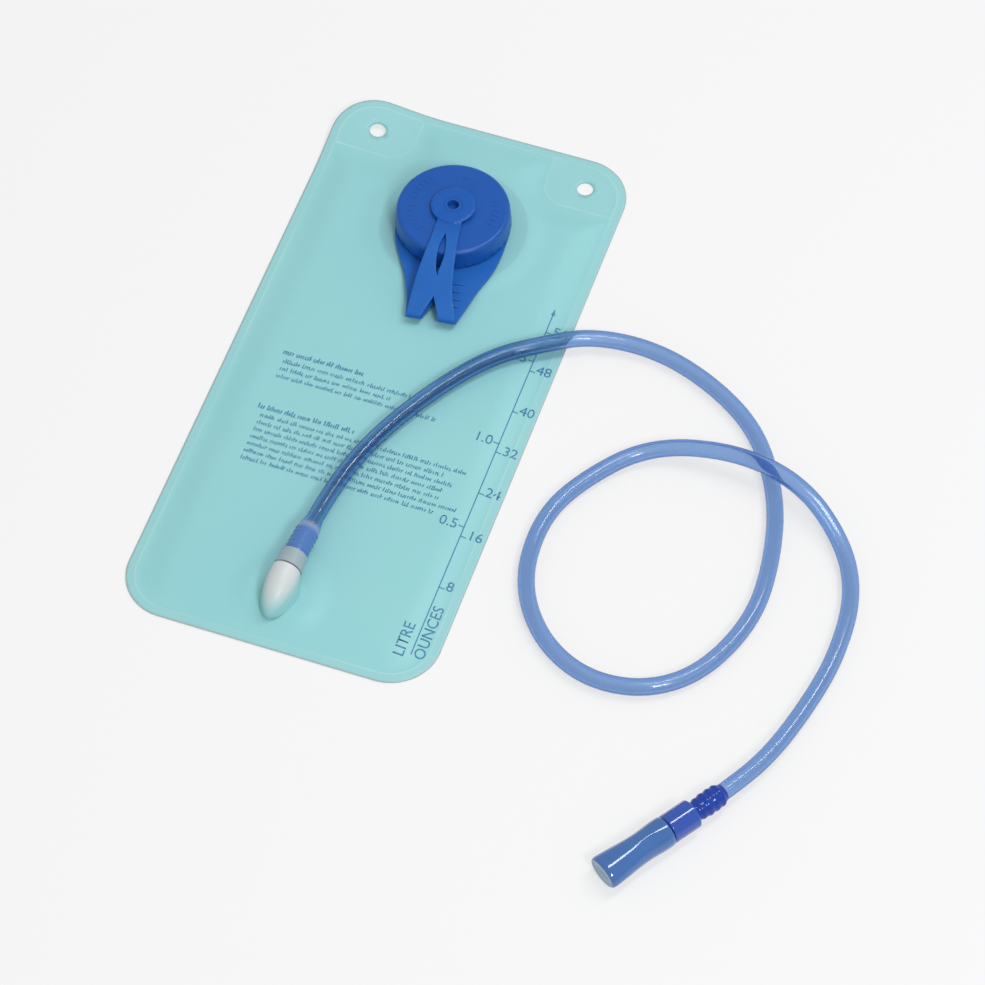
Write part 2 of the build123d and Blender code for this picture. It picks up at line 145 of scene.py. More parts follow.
# ---- Port ----
PORT = Vector((-0.003, -0.1447, 0.0139))
PORT_YAW = math.radians(3.0)
PORT_MOUTH_R = 0.0082
PORT_L = 0.027
SOCKET_R = 0.005
SOCKET_DEPTH = 0.014
DUCT_R = 0.0049
COWL_ANGLES = (0, 1, 6, 14, 22, 30, 38, 46, 54, 62, 70, 77, 84, 89)
COWL_SWELL = 0.0030
COWL_SWELL_FADE = 0.009
COWL_LIFT = 0.0002
COWL_SINK = 0.0003
ARCH_STEPS = 40
BASE_STEPS = 11

# The flange is an oval behind the mouth. The film lies flat over a longer oval, the bed.
FLANGE_HALF_W = 0.017
FLANGE_HALF_L = 0.016
FLANGE_BACK = 0.006
FLANGE_PROFILE = ((0.97, 0), (1.0, 0.0003), (1.0, 0.0009), (0.97, 0.0011))
FLANGE_SIDES = 64
BED_HALF_L = 0.0185
BED_BACK = 0.0085

# ---- Hose ----
HOSE_R = 0.00475
HOSE_WALL = 0.001575
HOSE_SIDES = 40
HOSE_EXIT = (-0.002424, -0.133715, 0.0139)

# How far the fittings inside it stretch the hose, over what length from its end, and how it fades.
PORT_STRETCH, PORT_STRETCH_L, PORT_STRETCH_FADE = 0.0016, 0.027, 0.010
VALVE_STRETCH, VALVE_STRETCH_L, VALVE_STRETCH_FADE = 0.0014, 0.0215, 0.006
VALVE_TAPER, VALVE_TAPER_L = 0.45, 0.008

# Barbs under the hose: distance of the first from the hose's end, pitch and count.
PORT_BARBS = (0.003, 0.0031, 5)
VALVE_BARBS = (0.004, 0.0044, 4)
BARB_SWELL = 0.0005

# Control points of the hose's middle line, from the port to the valve.
HOSE_ROUTE = [
    HOSE_EXIT,
    (-0.000278, -0.092771, 0.0126),
    (0.009, -0.0475, 0.0099),
    (0.0305, -0.004, 0.0097),
    (0.054, 0.029, 0.0097),
    (0.0785, 0.0465, 0.0097),
    (0.103, 0.063, 0.0074),
    (0.1405, 0.067, 0.00475),
    (0.1785, 0.0535, 0.00475),
    (0.210, 0.031, 0.00475),
    (0.2325, -0.0075, 0.00475),
    (0.242, -0.0485, 0.00475),
    (0.243, -0.0875, 0.00475),
    (0.227, -0.128, 0.00475),
    (0.201, -0.1485, 0.00475),
    (0.168, -0.1515, 0.00475),
    (0.138, -0.1355, 0.00475),
    (0.1175, -0.1045, 0.00475),
    (0.114, -0.0655, 0.00475),
    (0.1245, -0.035, 0.00475),
    (0.155, 0.0025, 0.0062),
    (0.2035, 0.0085, 0.0152),
    (0.2445, -0.0005, 0.0152),
    (0.2750, -0.0240, 0.0062),
    (0.2900, -0.0540, 0.00475),
    (0.2920, -0.0935, 0.00475),
    (0.2865, -0.127, 0.00475),
    (0.2765, -0.1644, 0.0062),
    (0.263027, -0.191811, 0.0088),
    (0.2486, -0.2132, 0.0088),
]

# ---- Valve ----
VALVE = Vector(HOSE_ROUTE[-1])
VALVE_YAW = math.radians(236)
VALVE_OUT = Vector((math.cos(VALVE_YAW), math.sin(VALVE_YAW), 0))
VALVE_SIDE = UP.cross(VALVE_OUT)
VALVE_SIDES = 72
SLEEVE_START = 0.0175
SLEEVE_LENGTH = 0.0423
SLEEVE_BORE_R = 0.0046
SLEEVE_BORE_END = 0.0208
BITE_SLIT_W = 0.0045
BITE_SLIT_H = 0.0002

# The sleeve's outer shape: distance from its root in metres, half width and half height in millimetres.
SLEEVE_PROFILE = [
    (0.0000, 7.9, 7.9), (0.0003, 8.45, 8.45), (0.0010, 8.7, 8.7), (0.0040, 8.75, 8.75),
    (0.0080, 8.65, 8.6), (0.0120, 8.35, 8.35), (0.0160, 8.2, 8.2), (0.0200, 8.3, 8.1),
    (0.0240, 8.6, 7.9), (0.0280, 9.0, 7.75), (0.0320, 9.4, 7.6), (0.0360, 9.75, 7.5),
    (0.0395, 9.95, 7.45), (0.0412, 9.8, 7.3), (0.0420, 9.35, 6.85), (0.0423, 8.7, 6.2),
]

# The sunken tip: depth behind the tip's edge, half width and half height in metres.
TIP_PROFILE = [
    (0.0004, 0.0078, 0.0053),
    (0.0005, 0.0064, 0.0038),
    (0.0003, 0.0056, 0.0020),
    (0.0004, 0.0048, 0.00045),
    (0.0006, BITE_SLIT_W, BITE_SLIT_H),
]

# The raised thumb spot on the sleeve: its place along it, half length, half width and height.
SPOT_S, SPOT_HALF_L, SPOT_HALF_W, SPOT_H = 0.0135, 0.0034, 0.0020, 0.0007

# ---- Print ----
SCALE_X = 0.0757
SCALE_START = -0.166
SCALE_STEP = 0.0048
SCALE_HALF_W = 0.0003
TICK_L = 0.0032
TYPE_SIZE = 0.0088
OUNCES = ((8, -0.121), (16, -0.086), (24, -0.056), (32, -0.027), (40, 0.002), (48, 0.0316), (56, 0.060))
LITRES = (("0.5", -0.0800), ("1.0", -0.0215), ("1.5", 0.0380))
INK_T = 0.00012
INK_LIFT = 0.00004
LETTER_PITCH = 0.0013


# ---------------------------------------------------------------- shapes


def smooth(t):
    """0 below 0, 1 above 1, and an S between."""
    t = np.clip(t, 0, 1)
    return t * t * (3 - 2 * t)


def corner_distance(qx, qy, r):
    """Signed distance to a rounded corner, negative inside."""
    outside = np.hypot(np.maximum(qx, 0), np.maximum(qy, 0))
    return outside + np.minimum(np.maximum(qx, qy), 0) - r


def edge_depth(x, y):
    """How far inside the pouch's outline a point lies."""
    qx = np.abs(x) - (HALF_W - CORNER_R)
    qy = np.abs(y) - (HALF_L - CORNER_R)
    return -corner_distance(qx, qy, CORNER_R)


def tab_gap(x, y):
    """Distance from the nearest hang tab's seam, positive on the side that fills."""
    return corner_distance(TAB_X + TAB_R - np.abs(x), TAB_Y + TAB_R - y, TAB_R)


def port_local(x, y):
    """Across and ahead of the port's mouth."""
    dx, dy = x - PORT.x, y - PORT.y
    c, s = math.cos(PORT_YAW), math.sin(PORT_YAW)
    return dx * c - dy * s, dx * s + dy * c


def fitting_reach(x, y):
    """0 over the neck's flange and the port's bed, rising to 1 a few millimetres away from them."""
    neck = np.hypot(x - CAP_X, y - CAP_Y) - NECK_FLANGE_R
    across, ahead = port_local(x, y)
    port = (np.hypot(across / FLANGE_HALF_W, (ahead + BED_BACK) / BED_HALF_L) - 1) * FLANGE_HALF_W
    return smooth(np.minimum(neck, port) / FITTING_FADE)


def curl(x, y):
    """The top left corner stands a little off the floor."""
    away = np.hypot(x + HALF_W, y - HALF_L)
    return CURL_LIFT * smooth(1 - away / CURL_REACH)


def ripples(x, y):
    """Two crossing sets of shallow waves, 8 to 9 cm long, from 0 to 1."""
    return 0.5 + 0.25 * np.sin(x * 71 + y * 33) + 0.25 * np.sin(y * 58 - x * 41 + 1.3)


def film_top(x, y):
    """Height of the front film's upper face."""
    x, y = np.asarray(x, float), np.asarray(y, float)
    edge, tab = edge_depth(x, y) - WELD_W, tab_gap(x, y)
    rise = smooth(np.minimum(edge, tab - TAB_SEAM_GAP) / SLOPE_W)
    slack = SLACK * (1 + 0.7 * ripples(x, y)) * fitting_reach(x, y)
    seam = SEAM_H * np.exp(-((edge / SEAM_W) ** 2))
    seam += SEAM_H * np.exp(-((tab / SEAM_W) ** 2)) * (edge > 0)
    return WELD_TOP + (FLAT_TOP - WELD_TOP - slack) * rise + seam + curl(x, y)


def circle(x, y, r, count):
    """Points of a circle, counter-clockwise."""
    turns = [2 * math.pi * i / count for i in range(count)]
    return [(x + r * math.cos(a), y + r * math.sin(a)) for a in turns]


def rounded_box(half_w, half_l, r, step):
    """Points of a rounded rectangle round the origin, about step apart."""
    corners = [(1, 1, 0), (-1, 1, 90), (-1, -1, 180), (1, -1, 270)]
    arc = max(4, round(r * math.pi / 2 / step))
    points = []
    for sx, sy, start in corners:
        for i in range(arc + 1):
            a = math.radians(start + 90 * i / arc)
            centre = (sx * (half_w - r), sy * (half_l - r))
            points.append((centre[0] + r * math.cos(a), centre[1] + r * math.sin(a)))
    return fill_in(points, step)


def fill_in(points, step):
    """The closed polygon with more points on its long sides."""
    out = []
    for (ax, ay), (bx, by) in zip(points, points[1:] + points[:1]):
        parts = max(1, round(math.dist((ax, ay), (bx, by)) / step))
        out += [(ax + (bx - ax) * i / parts, ay + (by - ay) * i / parts) for i in range(parts)]
    return out


def inside(polygon, points):
    """Which points lie in the polygon."""
    x, y = points[:, 0], points[:, 1]
    result = np.zeros(len(points), bool)
    for (ax, ay), (bx, by) in zip(polygon, polygon[1:] + polygon[:1]):
        crosses = (ay > y) != (by > y)
        with np.errstate(divide="ignore", invalid="ignore"):
            result ^= crosses & (x < (bx - ax) * (y - ay) / (by - ay) + ax)
    return result


def inner_grid(loops, extra, step):
    """The extra points and a staggered grid, as far as they lie within the first loop, outside
    the others, and not too close to any of them."""
    rim = np.array([point for loop in loops for point in loop])
    low, high = rim.min(0), rim.max(0)
    gx, gy = np.meshgrid(np.arange(low[0], high[0], step), np.arange(low[1], high[1], step))
    gx[1::2] += step / 2
    grid = np.concatenate([np.array(extra).reshape(-1, 2), np.stack([gx.ravel(), gy.ravel()], 1)])
    keep = inside(loops[0], grid)
    for hole in loops[1:]:
        keep &= ~inside(hole, grid)
    grid = grid[keep]
    near = np.array([np.min(np.hypot(*(rim - p).T)) for p in grid])
    return grid[near > 0.45 * step]


def triangulate(outline, holes, extra, step):
    """Vertices and triangles of a flat shape with holes, about step apart inside."""
    edges, coords = [], []
    for loop in [outline] + holes:
        start, n = len(coords), len(loop)
        coords += loop
        edges += [(start + i, start + (i + 1) % n) for i in range(n)]
    grid = inner_grid([outline] + holes, extra, step)
    points = [Vector(p) for p in coords] + [Vector(p) for p in grid]
    verts, _, faces, *_ = delaunay_2d_cdt(points, edges, [], 1, 1e-8)
    flat = np.array([tuple(v) for v in verts])
    middles = np.array([flat[list(f)].mean(0) for f in faces])
    drop = np.zeros(len(faces), bool)
    for hole in holes:
        drop |= inside(hole, middles)
    return flat, [tuple(f) for f, d in zip(faces, drop) if not d]


def new_object(name, verts, faces, looks=None):
    """A mesh object with smooth faces."""
    mesh = bpy.data.meshes.new(name)
    mesh.from_pydata([tuple(v) for v in verts], [], faces)
    mesh.validate()
    mesh.shade_smooth()
    obj = bpy.data.objects.new(name, mesh)
    bpy.context.scene.collection.objects.link(obj)
    if looks:
        mesh.materials.append(looks)
    return obj


def settle(obj):
    """Applies the object's modifiers to its mesh."""
    bpy.context.view_layer.update()
    evaluated = obj.evaluated_get(bpy.context.evaluated_depsgraph_get())
    mesh = bpy.data.meshes.new_from_object(evaluated)
    obj.modifiers.clear()
    obj.data = mesh


def thicken(obj, thickness, bevel=0.0, group=None, even=True):
    """Gives a sheet its thickness, half to each side, and rounds its edges. group names the
    vertex group that says how much of the thickness a point gets."""
    solid = obj.modifiers.new("thickness", "SOLIDIFY")
    solid.thickness = thickness
    solid.offset = 0
    solid.use_even_offset = even
    if group:
        solid.vertex_group = group
    if bevel:
        rounding = obj.modifiers.new("edges", "BEVEL")
        rounding.width = bevel
        rounding.segments = 3
        rounding.limit_method = "ANGLE"
        rounding.angle_limit = math.radians(50)
    settle(obj)


def loft(name, rings, looks, around=False):
    """Skins rings of equal point counts. The ends get a face each, or with around the last ring
    joins the first."""
    n = len(rings[0])
    verts = [p for ring in rings for p in ring]
    pairs = list(zip(range(len(rings) - 1), range(1, len(rings))))
    if around:
        pairs.append((len(rings) - 1, 0))
    faces = [
        (a * n + i, a * n + (i + 1) % n, b * n + (i + 1) % n, b * n + i)
        for a, b in pairs
        for i in range(n)
    ]
    if not around:
        faces += [tuple(reversed(range(n))), tuple(range((len(rings) - 1) * n, len(rings) * n))]
    obj = new_object(name, verts, faces, looks)
    mend = bmesh.new()
    mend.from_mesh(obj.data)
    bmesh.ops.recalc_face_normals(mend, faces=mend.faces)
    mend.to_mesh(obj.data)
    mend.free()
    return obj


# ---------------------------------------------------------------- materials


class Graph:
    """A material's node tree. Places are in metres, in the row frame at rest."""

    def __init__(self, name, **values):
        self.material = bpy.data.materials.new(name)
        self.material.use_nodes = True
        self.tree = self.material.node_tree
        self.shader = self.tree.nodes["Principled BSDF"]
        self.place = self.add("ShaderNodeTexCoord").outputs["Object"]
        for key, value in values.items():
            self.shader.inputs[key.replace("_", " ")].default_value = value

    def add(self, kind, **settings):
        """A new node with its settings."""
        node = self.tree.nodes.new(kind)
        for key, value in settings.items():
            setattr(node, key, value)
        return node

    def put(self, socket, value):
        """Links an output to the socket, or sets the socket to a plain value."""
        if isinstance(value, bpy.types.NodeSocket):
            self.tree.links.new(value, socket)
        else:
            socket.default_value = value

    def math(self, operation, a, b=0.0):
        """Arithmetic on outputs or numbers."""
        node = self.add("ShaderNodeMath", operation=operation)
        for socket, value in zip(node.inputs, (a, b)):
            self.put(socket, value)
        return node.outputs[0]

    def noise(self, scale, detail=3.0, stretch=None):
        """Cloudy noise, 0 to 1. stretch scales the place along each axis first."""
        node = self.add("ShaderNodeTexNoise")
        node.inputs["Scale"].default_value = scale
        node.inputs["Detail"].default_value = detail
        place = self.place
        if stretch:
            mapping = self.add("ShaderNodeMapping")
            mapping.inputs["Scale"].default_value = stretch
            self.put(mapping.inputs["Vector"], place)
            place = mapping.outputs[0]
        self.put(node.inputs["Vector"], place)
        return node.outputs[0]

    def span(self, value, low, high, to_low=0.0, to_high=1.0):
        """value from low..high to to_low..to_high, clamped, with a smooth S."""
        node = self.add("ShaderNodeMapRange", interpolation_type="SMOOTHSTEP")
        for socket, number in zip(node.inputs, (value, low, high, to_low, to_high)):
            self.put(socket, number)
        return node.outputs[0]

    def mix(self, share, a, b):
        """Colour a turning into colour b as share goes from 0 to 1."""
        node = self.add("ShaderNodeMix", data_type="RGBA")
        self.put(node.inputs["Factor"], share)
        for socket, value in zip((node.inputs[6], node.inputs[7]), (a, b)):
            self.put(socket, value if isinstance(value, bpy.types.NodeSocket) else (*value, 1))
        return node.outputs[2]

    def distance(self, point):
        """How far the shaded place is from a point."""
        node = self.add("ShaderNodeVectorMath", operation="DISTANCE")
        self.put(node.inputs[0], self.place)
        node.inputs[1].default_value = point
        return node.outputs["Value"]

    def axes(self):
        """The shaded place's X, Y and Z."""
        node = self.add("ShaderNodeSeparateXYZ")
        self.put(node.inputs[0], self.place)
        return node.outputs

    def bump(self, height, distance, strength=1.0):
        """Fine relief, distance deep where height is 1."""
        node = self.add("ShaderNodeBump")
        node.inputs["Strength"].default_value = strength
        node.inputs["Distance"].default_value = distance
        self.put(node.inputs["Height"], height)
        self.put(self.shader.inputs["Normal"], node.outputs[0])

    def colour(self, value):
        self.put(self.shader.inputs["Base Color"], value)

    def roughness(self, value):
        self.put(self.shader.inputs["Roughness"], value)


def moulded(name, dark, light, rough, grain=0.00001, fade=None, **values):
    """Moulded plastic: two close tones, uneven gloss, a fine skin and a few scuffs. fade is a
    colour and a function of the graph that gives the colour's share over the tones."""
    g = Graph(name, **values)
    broad = g.noise(45, 4)
    fine = g.noise(900, 3)
    scuff = g.span(g.noise(260, 6, (1, 5, 2)), 0.62, 0.72)
    tone = g.mix(broad, dark, light)
    if fade:
        far_colour, share = fade
        tone = g.mix(share(g), tone, far_colour)
    worn = [min(1, 1.3 * c + 0.03) for c in light]
    g.colour(g.mix(g.math("MULTIPLY", scuff, 0.10), tone, worn))
    g.roughness(g.span(fine, 0.3, 0.7, rough - 0.05, rough + 0.06))
    g.bump(g.math("ADD", fine, g.math("MULTIPLY", broad, 4.0)), grain)
    return g.material


def rounded_node(g, qx, qy, r):
    """Node form of corner_distance."""
    px, py = g.math("MAXIMUM", qx, 0.0), g.math("MAXIMUM", qy, 0.0)
    squares = g.math("ADD", g.math("MULTIPLY", px, px), g.math("MULTIPLY", py, py))
    within = g.math("MINIMUM", g.math("MAXIMUM", qx, qy), 0.0)
    return g.math("SUBTRACT", g.math("ADD", g.math("SQRT", squares), within), r)


def square_node(g, value, middle):
    """The square of a value's distance from middle."""
    off = g.math("SUBTRACT", value, middle)
    return g.math("MULTIPLY", off, off)


def line_node(g, distance, middle, half):
    """1 on a line that lies at middle on a distance, falling to 0 at half away from it."""
    return g.span(g.math("ABSOLUTE", g.math("SUBTRACT", distance, middle)), 0.0, half, 1.0, 0.0)


def outline_node(g, x, y):
    """Node form of edge_depth, but negative inside."""
    qx = g.math("SUBTRACT", g.math("ABSOLUTE", x), HALF_W - CORNER_R)
    qy = g.math("SUBTRACT", g.math("ABSOLUTE", y), HALF_L - CORNER_R)
    return rounded_node(g, qx, qy, CORNER_R)


def tab_node(g, x, y):
    """Node form of tab_gap."""
    qx = g.math("SUBTRACT", TAB_X + TAB_R, g.math("ABSOLUTE", x))
    qy = g.math("SUBTRACT", TAB_Y + TAB_R, y)
    return rounded_node(g, qx, qy, TAB_R)


def seam_share(g, edge, tab):
    """Where the pale line of a seam shows, stronger in some places than in others."""
    lines = g.math("MAXIMUM", line_node(g, edge, -WELD_W, 0.0009), line_node(g, tab, 0.0, 0.0010))
    lines = g.math("MULTIPLY", lines, g.span(edge, -0.0042, -0.0050))
    return g.math("MULTIPLY", lines, g.span(g.noise(14, 2), 0.35, 0.65, 0.12, 0.42))


def flange_share(g, x, y):
    """1 over the neck's flange, where the film gets a painted shade: partly the flange showing through,
    partly its painted shadow.
    """
    away = g.math("SQRT", g.math("ADD", square_node(g, x, CAP_X), square_node(g, y, CAP_Y)))
    return g.span(away, NECK_FLANGE_R + 0.0012, NECK_FLANGE_R - 0.0006)


def film_looks(name, alpha):
    """Milky turquoise film with its welded border, the seams of the hang tabs, faint wrinkles and a
    painted shade over the neck's flange.
    """
    g = Graph(name, Alpha=alpha, IOR=1.46, Specular_IOR_Level=0.35)
    axes = g.axes()
    x, y = axes["X"], axes["Y"]
    edge, tab = outline_node(g, x, y), tab_node(g, x, y)
    welded = g.math("MAXIMUM", g.span(edge, -0.0056, -0.0042), g.span(tab, 0.0008, -0.0008))
    rim = g.span(edge, -0.0014, -0.0002)
    tone = g.mix(g.noise(9, 3), (0.30, 0.66, 0.70), (0.35, 0.70, 0.71))
    tone = g.mix(g.math("MULTIPLY", welded, 0.30), tone, (0.38, 0.68, 0.69))
    tone = g.mix(seam_share(g, edge, tab), tone, (0.58, 0.82, 0.82))
    tone = g.mix(g.math("MULTIPLY", rim, 0.6), tone, (0.50, 0.56, 0.58))
    # Painted shade: a darker ring over the neck's flange, for the flange seen through the film and for its
    # shadow.
    g.colour(g.mix(g.math("MULTIPLY", flange_share(g, x, y), 0.22), tone, (0.20, 0.42, 0.42)))
    crinkle = g.noise(70, 5, (1.0, 0.5, 1.0))
    fine = g.noise(700, 2)
    g.roughness(g.span(crinkle, 0.3, 0.7, 0.30, 0.44))
    g.bump(g.math("ADD", g.math("MULTIPLY", crinkle, 6.0), fine), 0.00005, 0.6)
    return g.material


def hose_looks():
    """Clear tube, blue all through. Where it is stretched over barbs it turns cloudy: pale at
    the port, and deep blue from the stem inside it at the valve."""
    g = Graph("hose", IOR=1.40)
    clear = g.mix(g.noise(60, 3), (0.93, 0.95, 1.0), (0.97, 0.98, 1.0))
    stem = g.span(g.distance(VALVE), 0.0222, 0.0208)
    sleeve = g.span(g.distance(HOSE_EXIT), 0.0235, 0.0155)
    cloudy = g.math("MAXIMUM", stem, sleeve)
    g.colour(g.mix(stem, g.mix(sleeve, clear, (0.10, 0.24, 0.60)), (0.012, 0.060, 0.42)))
    g.put(g.shader.inputs["Transmission Weight"], g.span(cloudy, 0.0, 1.0, 1.0, 0.25))
    g.roughness(g.span(g.noise(300, 3), 0.3, 0.7, 0.07, 0.12))
    g.bump(g.noise(500, 3), 0.00001, 0.5)
    depth = g.add("ShaderNodeVolumeAbsorption")
    depth.inputs["Color"].default_value = (0.08, 0.43, 0.81, 1)
    depth.inputs["Density"].default_value = 405
    g.tree.links.new(depth.outputs[0], g.tree.nodes["Material Output"].inputs["Volume"])
    return g.material


def eye_share(g):
    """1 at the eye, fading out along the strap."""
    return g.span(g.distance((CAP_X, CAP_Y, EYE_Z)), 0.026, 0.0128)


def film_share(g):
    """1 where the cowl runs into the film, 0 at its top."""
    return g.span(g.axes()["Z"], FLAT_TOP + 0.0150, FLAT_TOP + 0.0030)


CAP_TONES = (0.004, 0.078, 0.36), (0.008, 0.095, 0.42)
GLOSSY = {"Transmission_Weight": 0.2, "Coat_Weight": 0.7}
LOOKS = {
    "film": film_looks("film", 0.86),
    "back": film_looks("back_film", 0.9),
    "neck": moulded("neck", *CAP_TONES, 0.4, Specular_IOR_Level=0.2),
    "cap": moulded("cap", *CAP_TONES, 0.32, grain=0.000003, Specular_IOR_Level=0.35),
    "tether": moulded(
        "tether",
        (0.008, 0.105, 0.42),
        (0.016, 0.135, 0.49),
        0.36,
        fade=(CAP_TONES[1], eye_share),
        Specular_IOR_Level=0.25,
    ),
    "gasket": moulded("gasket", (0.62, 0.64, 0.66), (0.72, 0.74, 0.76), 0.5),
    "port": moulded("port", (0.34, 0.45, 0.50), (0.42, 0.52, 0.56), 0.42, Transmission_Weight=0.2),
    "cowl": moulded(
        "cowl",
        (0.64, 0.69, 0.69),
        (0.72, 0.76, 0.76),
        0.42,
        fade=((0.34, 0.68, 0.70), film_share),
        Transmission_Weight=0.15,
    ),
    "weld": moulded("port_weld", (0.33, 0.67, 0.69), (0.38, 0.71, 0.73), 0.4),
    # Near black: partly the seals' own colour, partly painted shadow, since the port's O-ring stands in
    # for the shade in the gap between the hose connector's collar and the cowl.
    "seal": moulded("seal", (0.02, 0.022, 0.025), (0.04, 0.042, 0.045), 0.55),
    "hose": hose_looks(),
    "valve": moulded("valve", (0.012, 0.072, 0.43), (0.022, 0.094, 0.50), 0.12, **GLOSSY),
    "bite": moulded("bite", (0.030, 0.14, 0.43), (0.055, 0.18, 0.49), 0.11, **GLOSSY),
    "tip": moulded("bite_tip", (0.20, 0.32, 0.46), (0.30, 0.42, 0.52), 0.35),
    "ink": moulded("ink", (0.045, 0.21, 0.38), (0.075, 0.25, 0.43), 0.5),
}


# ---------------------------------------------------------------- camera and light


def make_camera():
    """The camera, in front of the object and above it."""
    level = Vector((math.sin(VIEW_AZIMUTH), -math.cos(VIEW_AZIMUTH), 0))
    back = level * math.cos(VIEW_ELEVATION) + Vector((0, 0, math.sin(VIEW_ELEVATION)))
    data = bpy.data.cameras.new("camera")
    data.lens = LENS_MM
    data.sensor_width = SENSOR_MM
    data.clip_start = 0.05
    data.clip_end = 50
    camera = bpy.data.objects.new("camera", data)
    camera.location = VIEW_TARGET + back * VIEW_DISTANCE
    camera.rotation_mode = "QUATERNION"
    camera.rotation_quaternion = (-back).to_track_quat("-Z", "Y")
    bpy.context.scene.collection.objects.link(camera)
    bpy.context.scene.camera = camera


def make_light(name, place, size, power, tall=None):
    """A soft lamp that points at the object, square, or with tall a rectangle."""
    data = bpy.data.lights.new(name, "AREA")
    data.energy = power
    data.size = size
    if tall:
        data.shape = "RECTANGLE"
        data.size_y = tall
    lamp = bpy.data.objects.new(name, data)
    lamp.location = place
    lamp.rotation_mode = "QUATERNION"
    lamp.rotation_quaternion = (LIGHT_TARGET - Vector(place)).to_track_quat("-Z", "Y")
    bpy.context.scene.collection.objects.link(lamp)


def make_floor():
    """A pale floor that glows a little, as a studio sweep that is lit on its own does."""
    half = FLOOR_SIZE / 2
    corners = [(-half, -half), (half, -half), (half, half), (-half, half)]
    floor = new_object("floor", [(x, y, FLOOR_Z) for x, y in corners], [(0, 1, 2, 3)])
    material = bpy.data.materials.new("floor")
    material.use_nodes = True
    shader = material.node_tree.nodes["Principled BSDF"]
    shader.inputs["Base Color"].default_value = (0.30, 0.30, 0.30, 1)
    shader.inputs["Roughness"].default_value = 1.0
    shader.inputs["Specular IOR Level"].default_value = 0.0
    shader.inputs["Emission Color"].default_value = (1, 1, 1, 1)
    shader.inputs["Emission Strength"].default_value = 0.60
    floor.data.materials.append(material)


def make_world():
    """Even white light from all round."""
    world = bpy.data.worlds.new("studio")
    world.use_nodes = True
    sky = world.node_tree.nodes["Background"]
    sky.inputs["Color"].default_value = (1, 1, 1, 1)
    sky.inputs["Strength"].default_value = 0.55
    bpy.context.scene.world = world
    bpy.context.scene.view_settings.view_transform = "Standard"


make_camera()
make_world()
make_floor()
make_light("key", (1.2, -1.15, 1.75), size=0.45, power=18)
make_light("top", (0.60, 0.55, 1.84), size=0.3, power=14, tall=1.3)


# ---------------------------------------------------------------- hose


def hose_line():
    """Points along the hose's NURBS line, and the distance to each from the start."""
    curve = bpy.data.curves.new("hose_route", "CURVE")
    curve.dimensions = "3D"
    spline = curve.splines.new("NURBS")
    spline.points.add(len(HOSE_ROUTE) - 1)
    for point, place in zip(spline.points, HOSE_ROUTE):
        point.co = (*place, 1)
    spline.order_u = 3
    spline.use_endpoint_u = True
    spline.resolution_u = 24
    holder = bpy.data.objects.new("hose_route", curve)
    mesh = bpy.data.meshes.new_from_object(holder)
    points = [v.co.copy() for v in mesh.vertices]
    bpy.data.objects.remove(holder)
    bpy.data.meshes.remove(mesh)
    lengths = [0.0]
    for a, b in zip(points, points[1:]):
        lengths.append(lengths[-1] + (b - a).length)
    return points, lengths


def along(points, lengths, s):
    """The point at a distance along a line, and the line's direction there."""
    i = min(max(np.searchsorted(lengths, s) - 1, 0), len(points) - 2)
    share = (s - lengths[i]) / (lengths[i + 1] - lengths[i])
    return points[i].lerp(points[i + 1], share), (points[i + 1] - points[i]).normalized()


def bumps(s, first, pitch, count):
    """A row of rounded rings: 1 on each ring, 0 between them."""
    t = (s - first) / pitch
    return 0.5 + 0.5 * math.cos(2 * math.pi * t) if -0.5 < t < count - 0.5 else 0.0


def stretch(s, most, length, fade):
    """How far a fitting widens the hose at a distance from its end."""
    return most * float(smooth((length - s) / fade))


def hose_radius(s, total):
    """Outer radius of the hose, which is stretched over the barbs at both ends."""
    port = stretch(s, PORT_STRETCH, PORT_STRETCH_L, PORT_STRETCH_FADE)
    port += BARB_SWELL * bumps(s, *PORT_BARBS)
    t = total - s
    valve = stretch(t, VALVE_STRETCH, VALVE_STRETCH_L, VALVE_STRETCH_FADE)
    valve *= 1 - VALVE_TAPER * float(smooth((VALVE_TAPER_L - t) / VALVE_STRETCH_FADE))
    valve += BARB_SWELL * bumps(t, *VALVE_BARBS)
    return HOSE_R + port + valve


def hose_stations(total):
    """Distances along the hose: close together over the fittings, wider apart between them."""
    fine, coarse = 0.0005, 0.0025
    plain_start, plain_end = 0.038, total - 0.026
    stations = list(np.arange(0, plain_start, fine))
    stations += list(np.arange(plain_start, plain_end, coarse))
    stations += list(np.arange(plain_end, total, fine))
    return stations + [total]


def make_hose():
    """The tube, skinned outside and in, and the points of its middle line."""
    points, lengths = hose_line()
    total = lengths[-1]
    turns = [2 * math.pi * i / HOSE_SIDES for i in range(HOSE_SIDES)]
    outer, inner = [], []
    side = UP.cross(along(points, lengths, 0)[1]).normalized()
    for s in hose_stations(total):
        centre, forward = along(points, lengths, s)
        side = (side - forward * side.dot(forward)).normalized()
        lift = forward.cross(side)
        spokes = [side * math.cos(a) + lift * math.sin(a) for a in turns]
        radius = hose_radius(s, total)
        outer.append([centre + spoke * radius for spoke in spokes])
        inner.append([centre + spoke * (radius - HOSE_WALL) for spoke in spokes])
    hose = loft("hose_tube", outer + inner[::-1], LOOKS["hose"], around=True)
    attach(hose, "hose_line")
    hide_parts("drink_hose")
    return hose, points[::4] + [points[-1]]


# ---------------------------------------------------------------- pouch


